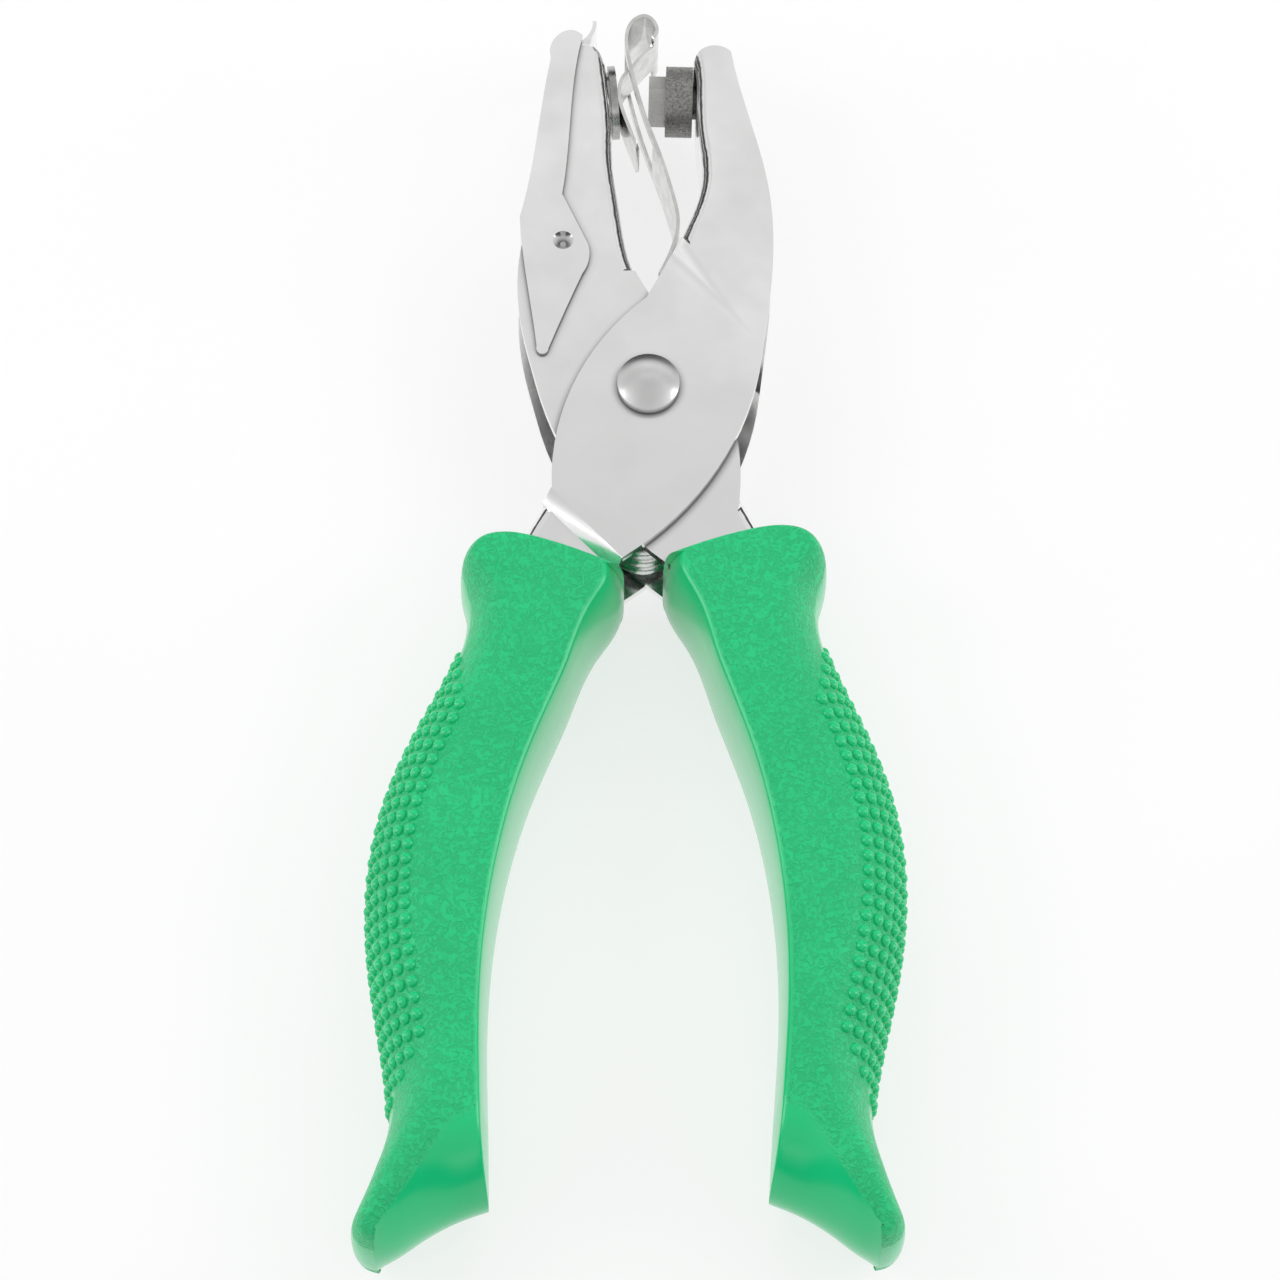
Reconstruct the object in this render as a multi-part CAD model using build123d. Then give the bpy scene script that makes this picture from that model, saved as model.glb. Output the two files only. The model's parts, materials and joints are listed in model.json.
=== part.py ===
from build123d import *
import math
import os

# Single-hole hand punch with a chip catcher.
# Built around the pivot: X across the tool, Y towards the jaws, Z through its thickness.
# The finished pieces are moved so that the origin is under the middle of the tool,
# on the surface that it lies on.

# ---- sheet and channels (mm) ----
SHEET = 1.2  # lever plate thickness
CHANNEL_WIDTH = 12.0  # outside width of both levers' channels
BEND_RADIUS = 1.5  # outside radius of the channels' bends
CHEEK_GAP = 0.05  # running gap between the two levers' cheeks
JOGGLE_LENGTH = 1.8  # length of the ramp where the punch lever steps out
JAW_JOGGLE_LENGTH = 4.0  # the step towards the jaw is a gentler ramp

# ---- levers ----
JAW_REACH = 50.9  # pivot to the nose of the punch jaw
HANDLE_REACH = 99.0  # pivot to the end of the handles inside the grips
CREASE_JAW = 14.3  # distance of the jaw crease from the pivot
CREASE_HANDLE = -18.6  # distance of the handle crease from the pivot
CREASE_ANGLE = 45.0  # direction across the creases

# ---- pivot ----
RIVET_RADIUS = 2.6
RIVET_HEAD_RADIUS = 3.9
RIVET_HEAD_WALL = 1.2  # straight side of the head
RIVET_DOME = 0.9  # height of the dome on top of it
PIVOT_CLEARANCE = 0.04  # radial running clearance
SLEEVE_WALL = 0.9

# ---- punch and die ----
PUNCH_SETBACK = 5.6  # nose to the punch's axis
PUNCH_FLATS = 5.7  # hexagon across flats
PUNCH_COLLAR_RADIUS = 4.6
PUNCH_COLLAR_LENGTH = 3.5
PUNCH_TIP_LENGTH = 2.2
PUNCH_SHANK_RADIUS = 2.2
PUNCH_TAIL_RADIUS = 3.0
PUNCH_TAIL_LENGTH = 0.9
PUNCH_SEAT_X = 4.85  # where the collar bears on the punch jaw's web
PUNCH_BITE = 0.9  # how far the closed punch reaches past the die's face
DIE_FACE_X = -5.0
DIE_FLANGE_RADIUS = 4.8
DIE_FLANGE = 0.9
DIE_BODY_RADIUS = 4.0
DIE_LENGTH = 3.4
DIE_CLEARANCE = 0.12  # between the punch's flats and the die hole
DIE_FRONT_ROOM = 3.0

# ---- chip cover ----
COVER_SHEET = 0.5
COVER_GAP = 0.05
HINGE = (-11.3, 20.9)
HINGE_RADIUS = 1.25
DIMPLE_FLOOR_RADIUS = 0.4
DIMPLE_MOUTH_RADIUS = 1.3
HINGE_CLEARANCE = 0.05
HINGE_RIM_RADIUS = 2.1
LIP_WIDTH = 8.0
COVER_WEB_END = 24.2  # where the cover's back wall stops above the hinge

# ---- stripper spring ----
STRIP_SHEET = 0.45
STRIP_WIDTH = 10.0
STRIP_WINDOW = 7.0
STRIP_TONGUE = 6.0
STRIP_RIVET_RADIUS = 0.9
STRIP_RIVET_HEAD = 1.6
STRIP_RIVET_HEIGHT = 0.5
STRIP_RIVET_PLACE = 0.13  # share of the jaw's inner line, from the throat

# ---- return spring ----
WIRE = 1.8
COIL_MIDDLE_Y = -17.2
COIL_RADIUS = 3.5  # to the middle of the wire
SPRING_SIDE_GAP = 0.2  # between the end turns and the cheeks
COIL_WHOLE_TURNS = 3
ARM_ANGLE = 52.3  # how steeply the arms run down into the handles
SPRING_ARM = 24.0

# ---- grips ----
GRIP_THICKNESS = 20.0
GRIP_STAGGER = 0.9  # how far each grip is shifted from the other along the tool, halved

# ---- the lengths that the outlines below are drawn at ----
JAW_ROOT = 24.0  # the jaws stretch above this height
DRAWN_JAW_REACH = 50.9
HANDLE_ROOT = -31.0  # the handles stretch below this height
DRAWN_HANDLE_REACH = 99.0

PUNCH_REACH = JAW_REACH - PUNCH_SETBACK
HALF = CHANNEL_WIDTH / 2
INNER = HALF - SHEET
LEAF_IN = HALF + CHEEK_GAP
LEAF_OUT = LEAF_IN + SHEET
WEB_DEPTH = SHEET + 0.2  # from a web's face to where a rivet's tail bears


def fitted(point):
    """A drawn point moved to suit the reach of the jaws and of the handles."""
    x, y = point
    if y > JAW_ROOT:
        y = JAW_ROOT + (y - JAW_ROOT) * (JAW_REACH - JAW_ROOT) / (DRAWN_JAW_REACH - JAW_ROOT)
    elif y < HANDLE_ROOT:
        y = HANDLE_ROOT + (y - HANDLE_ROOT) * (HANDLE_REACH + HANDLE_ROOT) / (DRAWN_HANDLE_REACH + HANDLE_ROOT)
    return (x, y)


def drawn(*points):
    return [fitted(point) for point in points]


def closed_face(edges):
    """A flat face from edges that join end to end."""
    return make_face(Wire(edges))


def slab(face, low, high):
    """The solid of a face's outline between two heights."""
    return extrude(Pos(0, 0, low) * face, amount=high - low, dir=(0, 0, 1))


def both_sides(solid):
    """A piece and its copy on the other side of the middle plane."""
    return [solid, solid.mirror(Plane.XY)]


# ---- outlines of the levers ----
# Both levers are cut from one blank: the punch lever as drawn here, with its jaw to the
# right and its handle to the left, and the die lever as its mirror image with its own jaw.

PUNCH_THROAT = (1.6, 16.8)
PUNCH_JAW_INNER = drawn(PUNCH_THROAT, (4.3, 23.6), (6.3, 31.0), (5.5, 39.0), (4.9, 48.3))
PUNCH_JAW_OUTER = drawn((9.7, 49.6), (12.5, 38.8), (14.9, 29.0), (15.4, 17.0), (14.2, 5.0))
DIE_THROAT = (-1.6, 16.2)
DIE_JAW_INNER = drawn(DIE_THROAT, (-4.3, 26.6), (-5.4, 34.0), (-5.6, 39.0), (-6.6, 47.6))
DIE_NOSE = drawn((-6.6, 47.6), (-7.7, 49.5), (-10.0, 50.0), (-12.3, 47.0))
DIE_JAW_OUTER = drawn((-12.3, 47.0), (-13.6, 37.6), (-15.6, 25.6), (-16.9, 17.0), (-15.6, 6.0), (-14.2, 1.0))

LEAF_TIP = (-2.75, -23.8)
LEAF_CORNER = (-11.7, -14.3)
LEAF_TOP = (-0.5, 12.6)
LEAF_RIGHT_MIDDLE = (8.4, -12.0)
LEAF_LEFT_MIDDLE = (-9.6, -0.4)
HANDLE_INNER = drawn(LEAF_TIP, (-6.6, -31.5), (-14.4, -48.0), (-18.9, -67.0), (-19.3, -84.0), (-18.6, -99.0))
HANDLE_OUTER = drawn((-27.0, -99.0), (-28.0, -84.0), (-29.0, -68.0), (-26.0, -52.0), (-19.6, -33.0))
HANDLE_OUTER += [(-14.8, -20.0), LEAF_CORNER]


def mirrored(points):
    return [(-x, y) for x, y in points]


def punch_throat_line():
    return Line(LEAF_TOP, PUNCH_THROAT)


def punch_jaw_line():
    """The inner line of the punch jaw, from the throat to the nose."""
    return Spline(PUNCH_JAW_INNER, tangents=[punch_throat_line() % 1, (-0.2, 1)])


def punch_nose_line():
    return TangentArc(PUNCH_JAW_INNER[-1], PUNCH_JAW_OUTER[0], tangent=(0.25, 1))


def die_throat_line():
    return Line(mirrored([LEAF_TOP])[0], DIE_THROAT)


def die_jaw_line():
    """The inner line of the die jaw, from the throat to the nose."""
    return Spline(DIE_JAW_INNER, tangents=[die_throat_line() % 1, (-0.12, 1)])


def punch_outline():
    """Plan of the punch lever, as one closed face."""
    leaf_right = ThreePointArc(PUNCH_JAW_OUTER[-1], LEAF_RIGHT_MIDDLE, LEAF_TIP)
    return closed_face(
        [
            punch_jaw_line(),
            punch_nose_line(),
            Spline(PUNCH_JAW_OUTER, tangents=[(0.18, -1), leaf_right % 0]),
            leaf_right,
            Spline(HANDLE_INNER),
            Line(HANDLE_INNER[-1], HANDLE_OUTER[0]),
            Spline(HANDLE_OUTER),
            ThreePointArc(LEAF_CORNER, LEAF_LEFT_MIDDLE, LEAF_TOP),
            punch_throat_line(),
        ]
    )


def die_outline():
    """Plan of the die lever, as one closed face."""
    inner = mirrored(HANDLE_INNER)
    outer = mirrored(HANDLE_OUTER)
    corner, top, tip = mirrored([LEAF_CORNER, LEAF_TOP, LEAF_TIP])
    right_middle, left_middle = mirrored([LEAF_LEFT_MIDDLE, LEAF_RIGHT_MIDDLE])
    leaf_left = ThreePointArc(DIE_JAW_OUTER[-1], left_middle, tip)
    return closed_face(
        [
            die_jaw_line(),
            Spline(DIE_NOSE, tangents=[(-0.9, 1), (-0.2, -1)]),
            Spline(DIE_JAW_OUTER, tangents=[(-0.2, -1), leaf_left % 0]),
            leaf_left,
            Spline(inner),
            Line(inner[-1], outer[0]),
            Spline(outer),
            ThreePointArc(corner, right_middle, top),
            die_throat_line(),
        ]
    )


def band(outline, shift, low_y, high_y):
    """The strip of an outline that a shifted copy of it uncovers, between two Y values."""
    window = Pos(0, (low_y + high_y) / 2) * Rectangle(120, high_y - low_y)
    return (outline - Pos(*shift) * outline) & window


def web_bands(outline, jaw_shift, handle_shift, jaw_low, handle_high):
    """The plan areas of the jaw's web and of the handle's web."""
    jaw_web = band(outline, jaw_shift, jaw_low, JAW_REACH + 5)
    handle_web = band(outline, handle_shift, -HANDLE_REACH - 5, handle_high)
    faces = jaw_web.faces() + handle_web.faces()
    return [face for face in faces if face.area > SHEET * 8]


def round_bends(block, web_lines):
    """Round a block's long edges over the given plan lines, on both faces."""
    corners = []
    for edge in block.edges():
        middle = edge.position_at(0.5)
        flat = Vertex(middle.X, middle.Y, 0)
        on_face = abs(abs(middle.Z) - HALF) < 0.01
        if on_face and any(line.distance_to(flat) < 0.01 for line in web_lines):
            corners.append(edge)
    return fillet(corners, BEND_RADIUS)


def channel(outline, bands, jaw_lines, handle_lines, jaw_start):
    """Two flat cheeks joined by webs, rounded where a web meets a cheek."""
    above = Pos(0, jaw_start + 100) * Rectangle(200, 200)
    jaw = round_bends(slab(outline & above, -HALF, HALF), jaw_lines)
    block = jaw + round_bends(slab(outline - above, -HALF, HALF), handle_lines)
    hollow = slab(outline, -INNER, INNER)
    for web in bands:
        hollow -= slab(web, -HALF, HALF)
    return block - hollow


def joggled_sheet():
    """One long sheet that steps outwards between the two creases, as a solid."""
    far = 160
    points = [
        (far, HALF),
        (CREASE_JAW + JAW_JOGGLE_LENGTH, HALF),
        (CREASE_JAW, LEAF_OUT),
        (CREASE_HANDLE, LEAF_OUT),
        (CREASE_HANDLE - JOGGLE_LENGTH, HALF),
        (-far, HALF),
        (-far, INNER),
        (CREASE_HANDLE - JOGGLE_LENGTH, INNER),
        (CREASE_HANDLE, LEAF_IN),
        (CREASE_JAW, LEAF_IN),
        (CREASE_JAW + JAW_JOGGLE_LENGTH, INNER),
        (far, INNER),
    ]
    profile = make_face(Polyline(points, close=True))
    upright = Plane(origin=(0, 0, 0), x_dir=(1, 0, 0), z_dir=(0, -1, 0)) * profile
    sheet = extrude(upright, amount=far, both=True)
    return Rot(0, 0, CREASE_ANGLE) * sheet


def joggle_zone():
    """The space between the outer ends of the two ramps, across the whole lever."""
    low = CREASE_HANDLE - JOGGLE_LENGTH
    high = CREASE_JAW + JAW_JOGGLE_LENGTH
    block = Pos((low + high) / 2, 0, 0) * Box(high - low, 160, 4 * LEAF_OUT)
    return Rot(0, 0, CREASE_ANGLE) * block


def punch_lever():
    """Punch jaw, leaves that step out over the die lever at the pivot, and left handle."""
    outline = punch_outline()
    low, high = PUNCH_THROAT[1] + 0.8, HANDLE_OUTER[-1][1] - 1.0
    bands = web_bands(outline, (SHEET, -SHEET * 0.6), (SHEET * 1.1, 0), low, high)
    zone = joggle_zone()
    leaf = joggled_sheet() & slab(outline, 0, LEAF_OUT + 1) & zone
    lever = channel(outline, bands, [punch_jaw_line()], [Spline(HANDLE_OUTER)], low) - zone
    lever += leaf
    lever += leaf.mirror(Plane.XY)
    for web in bands:
        lever += slab(web, -HALF, HALF) & zone
    lever -= Cylinder(RIVET_RADIUS + PIVOT_CLEARANCE, 4 * LEAF_OUT)
    lever -= extrude(punch_axis() * Circle(PUNCH_SHANK_RADIUS), amount=3 * SHEET, both=True)
    lever -= extrude(punch_tail_plane() * Circle(PUNCH_TAIL_RADIUS), amount=-SHEET)
    rivet_hole = strip_rivet_plane() * Circle(STRIP_RIVET_RADIUS)
    return lever - extrude(rivet_hole, amount=3 * SHEET, both=True)


def die_lever():
    """Die jaw, flat cheeks between the leaves at the pivot, and right handle."""
    outline = die_outline()
    low, high = DIE_THROAT[1] + 0.8, HANDLE_OUTER[-1][1] - 1.0
    bands = web_bands(outline, (-SHEET, 0), (-SHEET * 1.1, 0), low, high)
    lever = channel(outline, bands, [die_jaw_line()], [Spline(mirrored(HANDLE_OUTER))], low)
    lever -= Cylinder(RIVET_RADIUS, 4 * LEAF_OUT)
    lever -= Pos(*HINGE, 0) * Cylinder(HINGE_RADIUS + HINGE_CLEARANCE, 4 * LEAF_OUT)
    return lever - die_seat()


def closing_angle():
    """Degrees that the punch lever turns from open until the punch is through the sheet."""
    tip_x = PUNCH_SEAT_X - PUNCH_COLLAR_LENGTH - PUNCH_TIP_LENGTH
    travel = tip_x - DIE_FACE_X + PUNCH_BITE
    return math.degrees(math.asin(travel / PUNCH_REACH))


def punch_axis():
    """The punch's seat on its jaw: local Z runs out along the punch, local X up the jaw."""
    return Plane(origin=(PUNCH_SEAT_X, PUNCH_REACH, 0), x_dir=(0, 1, 0), z_dir=(-1, 0, 0))


def punch_tail_plane():
    """Where the punch's headed tail bears on the inside of the jaw's web."""
    return punch_axis().offset(-WEB_DEPTH)


def hexagon(across_flats):
    return Rot(0, 0, 30) * RegularPolygon(across_flats / 2, 6, major_radius=False)


def punch():
    """Hardened punch: hexagonal tip, round collar, shank through the web and a headed tail."""
    axis = punch_axis()
    collar_end = PUNCH_COLLAR_LENGTH
    collar = extrude(axis * Circle(PUNCH_COLLAR_RADIUS), amount=collar_end)
    tip = extrude(axis * hexagon(PUNCH_FLATS), amount=collar_end + PUNCH_TIP_LENGTH)
    shank = extrude(axis * Circle(PUNCH_SHANK_RADIUS), amount=-(WEB_DEPTH + PUNCH_TAIL_LENGTH))
    tail = extrude(punch_tail_plane() * Circle(PUNCH_TAIL_RADIUS), amount=-PUNCH_TAIL_LENGTH)
    return collar + tip + shank + tail


def die_axis():
    """Where the punch's axis lies when the jaws are closed, with the origin on the die's face."""
    closed = Rot(0, 0, closing_angle()) * Location(punch_axis())
    depth = PUNCH_COLLAR_LENGTH + PUNCH_TIP_LENGTH - PUNCH_BITE
    return closed * Pos(0, 0, depth)


def die():
    """Hardened die ring: a flange on the jaw's face and a body through the web."""
    flange = Pos(0, 0, DIE_FLANGE / 2) * Cylinder(DIE_FLANGE_RADIUS, DIE_FLANGE)
    body = Pos(0, 0, DIE_LENGTH / 2) * Cylinder(DIE_BODY_RADIUS, DIE_LENGTH)
    hole = extrude(hexagon(PUNCH_FLATS + 2 * DIE_CLEARANCE), amount=DIE_LENGTH)
    return die_axis() * (flange + body - hole)


def die_seat():
    """The space that the die takes out of the jaw's web."""
    body = Pos(0, 0, DIE_LENGTH / 2) * Cylinder(DIE_BODY_RADIUS, DIE_LENGTH * 2)
    flange = Pos(0, 0, DIE_FLANGE - DIE_FRONT_ROOM / 2) * Cylinder(DIE_FLANGE_RADIUS, DIE_FRONT_ROOM)
    return die_axis() * (body + flange)


def pivot_rivet():
    """Headed pin with a dome at both ends."""
    seat = LEAF_OUT + CHEEK_GAP
    wall = seat + RIVET_HEAD_WALL
    sphere_radius = (RIVET_HEAD_RADIUS**2 + RIVET_DOME**2) / (2 * RIVET_DOME)
    dome = Pos(0, 0, wall + RIVET_DOME - sphere_radius) * Sphere(sphere_radius)
    dome &= Pos(0, 0, wall + RIVET_DOME) * Cylinder(RIVET_HEAD_RADIUS, 2 * RIVET_DOME)
    head = Pos(0, 0, seat + RIVET_HEAD_WALL / 2) * Cylinder(RIVET_HEAD_RADIUS, RIVET_HEAD_WALL)
    head += dome
    shank = Cylinder(RIVET_RADIUS, 2 * seat)
    return shank + head + head.mirror(Plane.XY)


def pivot_sleeve():
    """Spacer tube that keeps the die lever's cheeks apart on the rivet."""
    tube = Cylinder(RIVET_RADIUS + SLEEVE_WALL, 2 * INNER)
    return tube - Cylinder(RIVET_RADIUS, 2 * INNER)


def return_spring():
    """Wire coil below the pivot with an arm down into each handle."""
    start_angle = 180 - (90 - ARM_ANGLE)
    lead = 360 * COIL_WHOLE_TURNS + 2 * (start_angle - 90)
    height = 2 * INNER - WIRE - 2 * SPRING_SIDE_GAP
    middle = Pos(0, COIL_MIDDLE_Y, 0)
    helix = Helix(height * 360 / lead, height, COIL_RADIUS)
    section = Plane(origin=helix @ 0, z_dir=helix % 0) * Circle(WIRE / 2)
    coil = sweep(section, path=helix, is_frenet=True)
    coil = Rot(0, 0, start_angle - 90 + 90 - lead) * Pos(0, 0, -height / 2) * coil
    spring = coil
    for side in (1, -1):
        angle = math.radians(start_angle if side < 0 else 180 - start_angle)
        leave = (COIL_RADIUS * math.cos(angle), COIL_RADIUS * math.sin(angle), side * height / 2)
        down = (side * math.cos(math.radians(ARM_ANGLE)), -math.sin(math.radians(ARM_ANGLE)), 0)
        arm = extrude(Plane(origin=leave, z_dir=down) * Circle(WIRE / 2), amount=SPRING_ARM)
        spring += arm + Pos(*leave) * Sphere(WIRE / 2)
    return middle * spring


STRIP_LEG = drawn(
    (1.15, 17.3),
    (2.75, 21.4),
    (3.3, 24.6),
    (2.4, 29.4),
    (1.0, 34.0),
    (-0.9, 39.2),
    (-2.4, 44.1),
    (-3.6, 49.0),
    (-3.9, 52.4),
    (-3.1, 54.5),
    (-1.6, 55.3),
    (-0.25, 54.2),
    (-0.5, 52.0),
)
STRIP_RETURN = drawn((-0.5, 52.0), (-2.9, 49.1), (-4.5, 46.6), (-4.5, 43.4), (-3.4, 40.0), (-2.1, 36.4))
WINDOW_LOW = fitted((0, 36.6))[1]
WINDOW_HIGH = fitted((0, 50.2))[1]


def strip(points, width, tangents=None):
    """A thin strip bent along a line of points."""
    line = Spline(points) if tangents is None else Spline(points, tangents=tangents)
    surface = Pos(0, 0, -width / 2) * Face.extrude(line, (0, 0, width))
    return thicken(surface, STRIP_SHEET / 2, both=True)


def strip_rivet_plane():
    """On the punch jaw's inner line, pointing out of it."""
    line = punch_jaw_line()
    along = line.tangent_at(STRIP_RIVET_PLACE)
    return Plane(origin=line.position_at(STRIP_RIVET_PLACE), z_dir=(-along.Y, along.X, 0))


def stripper_spring():
    """Strip that leans out from the punch jaw, loops at its top and comes back past the punch."""
    leg_line = Spline(STRIP_LEG)
    leg = strip(STRIP_LEG, STRIP_WIDTH)
    window = Pos(0, (WINDOW_LOW + WINDOW_HIGH) / 2, 0)
    window = window * Box(20, WINDOW_HIGH - WINDOW_LOW, STRIP_WINDOW)
    leg -= window
    tongue = strip(STRIP_RETURN, STRIP_TONGUE, tangents=[leg_line % 1, (0.35, -1)])
    spring = leg + tongue
    return spring - extrude(strip_rivet_plane() * Circle(STRIP_RIVET_RADIUS), amount=4, both=True)


def stripper_rivet():
    """Small rivet through the strip and the jaw's web."""
    plane = strip_rivet_plane()
    shank = extrude(plane.offset(-WEB_DEPTH - STRIP_RIVET_HEIGHT) * Circle(STRIP_RIVET_RADIUS), amount=3.2)
    tail = extrude(plane.offset(-WEB_DEPTH) * Circle(STRIP_RIVET_HEAD), amount=-STRIP_RIVET_HEIGHT)
    return shank + tail


COVER_TOP = drawn((-9.6, 51.2), (-11.8, 51.8), (-13.4, 50.3), (-13.6, 47.8))
COVER_BACK = drawn((-13.6, 47.8), (-14.9, 37.6), (-15.9, 29.4), (-16.9, COVER_WEB_END))
COVER_TAIL = [COVER_BACK[-1], (-16.5, 20.0), (-15.4, 13.0), (-14.2, 5.6)]
COVER_TIP = (-13.4, 4.6)
COVER_TAIL_FRONT = [(-12.7, 5.4), (-10.8, 10.7), (-8.7, 16.2)]
COVER_SHOULDER = (-7.9, 18.6)
COVER_NECK = fitted((-11.6, 27.6))
COVER_FRONT = [COVER_NECK] + drawn((-10.9, 37.7), (-10.4, 46.0), (-9.6, 51.2))
LIP_UNDER = drawn((-10.6, 50.9), (-9.0, 51.8), (-8.1, 53.2), (-7.9, 54.9))
LIP_OVER = drawn((-8.4, 54.9), (-8.6, 53.4), (-9.4, 52.2), (-10.8, 51.4))


def cover_outline():
    return closed_face(
        [
            Spline(COVER_TOP),
            Spline(COVER_BACK),
            Spline(COVER_TAIL),
            ThreePointArc(COVER_TAIL[-1], COVER_TIP, COVER_TAIL_FRONT[0]),
            Spline(COVER_TAIL_FRONT),
            ThreePointArc(COVER_TAIL_FRONT[-1], COVER_SHOULDER, (-8.1, 20.4)),
            Line((-8.1, 20.4), COVER_NECK),
            Spline(COVER_FRONT),
        ]
    )


def hinge_nib():
    """Dimple pressed into a cover cheek: a nib on the inside, a cone on the outside."""
    top = LEAF_IN + COVER_SHEET
    low = INNER + 0.1
    body = Pos(0, 0, (low + top) / 2) * Cylinder(HINGE_RADIUS, top - low)
    rim = Pos(0, 0, LEAF_IN + COVER_SHEET / 2) * Cylinder(HINGE_RIM_RADIUS, COVER_SHEET)
    cone_depth = top - low - COVER_SHEET
    cone = Pos(0, 0, top - cone_depth / 2) * Cone(DIMPLE_FLOOR_RADIUS, DIMPLE_MOUTH_RADIUS, cone_depth)
    return Pos(*HINGE, 0) * (body + rim), Pos(*HINGE, 0) * cone


def chip_cover():
    """Thin cover that wraps the die jaw's open side, with a tail and a thumb lip."""
    outline = cover_outline()
    cheek = slab(outline, LEAF_IN, LEAF_IN + COVER_SHEET)
    cover = cheek + cheek.mirror(Plane.XY)
    wall = band(outline, (COVER_SHEET, -COVER_SHEET * 0.7), COVER_WEB_END, 60)
    outside = LEAF_IN + COVER_SHEET
    for face in wall.faces():
        if face.area > 2:
            cover += slab(face, -outside, outside)
    body, cone = hinge_nib()
    for nib in both_sides(body):
        cover += nib
    for hollow in both_sides(cone):
        cover -= hollow
    lip = closed_face(
        [
            Spline(LIP_UNDER),
            Line(LIP_UNDER[-1], LIP_OVER[0]),
            Spline(LIP_OVER),
            Line(LIP_OVER[-1], LIP_UNDER[0]),
        ]
    )
    return cover + slab(lip, -LIP_WIDTH / 2, LIP_WIDTH / 2)


GRIP_TOP_CORNER = (3.6, -24.6)
GRIP_SHOULDER = (22.6, -23.4)
GRIP_TOP = [GRIP_TOP_CORNER, (10.7, -21.6), (16.2, -20.3), (20.6, -20.9), GRIP_SHOULDER]
GRIP_OUTER = [GRIP_SHOULDER, (21.9, -28.8)] + drawn(
    (23.2, -36.0),
    (27.6, -45.5),
    (31.2, -56.0),
    (32.3, -67.0),
    (31.2, -78.0),
    (29.2, -88.5),
    (28.7, -95.0),
    (30.0, -101.5),
    (31.9, -107.0),
)
GRIP_TOE = drawn((31.9, -107.0), (32.5, -110.0), (30.0, -112.4), (27.2, -111.3), (24.6, -108.7))
GRIP_END = drawn((24.6, -108.7), (21.0, -106.5), (16.5, -104.6))
GRIP_INNER = drawn((16.5, -104.6), (16.8, -94.0), (17.5, -84.0), (17.4, -74.0), (15.7, -61.0), (13.0, -50.5))
GRIP_INNER += drawn((8.9, -39.0), (5.4, -31.0)) + [(3.0, -26.8), GRIP_TOP_CORNER]


def grip(lever, lever_outline, flip):
    """Moulded sleeve on a handle; flip mirrors it onto the left handle, where it sits lower."""
    rim = [
        Spline(GRIP_TOP),
        Spline(GRIP_OUTER),
        Spline(GRIP_TOE),
        Spline(GRIP_END),
        Spline(GRIP_INNER),
    ]
    plan = Pos(0, GRIP_STAGGER) * closed_face(rim)
    if flip:
        plan = Pos(0, -2 * GRIP_STAGGER) * plan.mirror(Plane.YZ)
    body = slab(plan, -GRIP_THICKNESS / 2, GRIP_THICKNESS / 2)
    return body - slab(lever_outline, -HALF, HALF) - lever


os.makedirs("parts", exist_ok=True)
punch_side = punch_lever()
die_side = die_lever()
pieces = {
    "punch_lever": punch_side,
    "die_lever": die_side,
    "punch": punch(),
    "die": die(),
    "pivot_rivet": pivot_rivet(),
    "pivot_sleeve": pivot_sleeve(),
    "return_spring": return_spring(),
    "stripper_spring": stripper_spring(),
    "stripper_rivet": stripper_rivet(),
    "chip_cover": chip_cover(),
    "punch_lever_grip": grip(punch_side, punch_outline(), flip=True),
    "die_lever_grip": grip(die_side, die_outline(), flip=False),
}

box = Compound(list(pieces.values())).bounding_box()
pivot_place = (-(box.min.X + box.max.X) / 2, -(box.min.Y + box.max.Y) / 2, -box.min.Z)
for name, piece in pieces.items():
    placed = Pos(*pivot_place) * piece
    export_step(placed, "parts/" + name + ".step")
print("pivot at", [round(value, 4) for value in pivot_place], "closes by", round(closing_angle(), 3))
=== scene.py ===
"""Single-hole punch pliers with a chip cover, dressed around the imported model.

Sizes in the classes are millimetres from the middle of the pivot: X across the tool,
Y towards the jaws and Z up, out of the face that carries the domed rivet head.
"""

import json
import logging
import math
from dataclasses import dataclass, field
from enum import Enum

import bmesh
import bpy
import numpy as np
from mathutils import Matrix, Vector
from mathutils.geometry import delaunay_2d_cdt


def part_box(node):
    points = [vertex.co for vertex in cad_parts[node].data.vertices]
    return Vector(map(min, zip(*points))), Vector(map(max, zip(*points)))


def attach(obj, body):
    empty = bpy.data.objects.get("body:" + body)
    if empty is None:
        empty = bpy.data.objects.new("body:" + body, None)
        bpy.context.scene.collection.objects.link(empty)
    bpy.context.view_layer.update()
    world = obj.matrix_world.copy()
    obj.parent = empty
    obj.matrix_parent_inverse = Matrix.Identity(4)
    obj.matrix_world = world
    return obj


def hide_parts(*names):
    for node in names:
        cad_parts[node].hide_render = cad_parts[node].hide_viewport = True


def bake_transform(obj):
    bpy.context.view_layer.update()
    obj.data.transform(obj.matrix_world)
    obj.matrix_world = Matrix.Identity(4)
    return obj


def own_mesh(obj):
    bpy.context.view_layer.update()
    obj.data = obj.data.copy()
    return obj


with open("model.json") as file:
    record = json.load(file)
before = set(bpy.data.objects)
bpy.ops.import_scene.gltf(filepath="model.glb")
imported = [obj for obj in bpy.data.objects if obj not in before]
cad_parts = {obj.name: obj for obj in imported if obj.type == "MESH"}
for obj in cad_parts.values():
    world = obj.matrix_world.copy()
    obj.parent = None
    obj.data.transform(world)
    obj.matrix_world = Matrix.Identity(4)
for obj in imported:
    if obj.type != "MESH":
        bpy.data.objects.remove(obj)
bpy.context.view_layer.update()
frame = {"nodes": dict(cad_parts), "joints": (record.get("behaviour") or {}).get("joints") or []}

log = logging.getLogger("punch_pliers")

Socket = bpy.types.NodeSocket
Triple = tuple[float, float, float]  # a colour, or a measure along X, Y and Z

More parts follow.
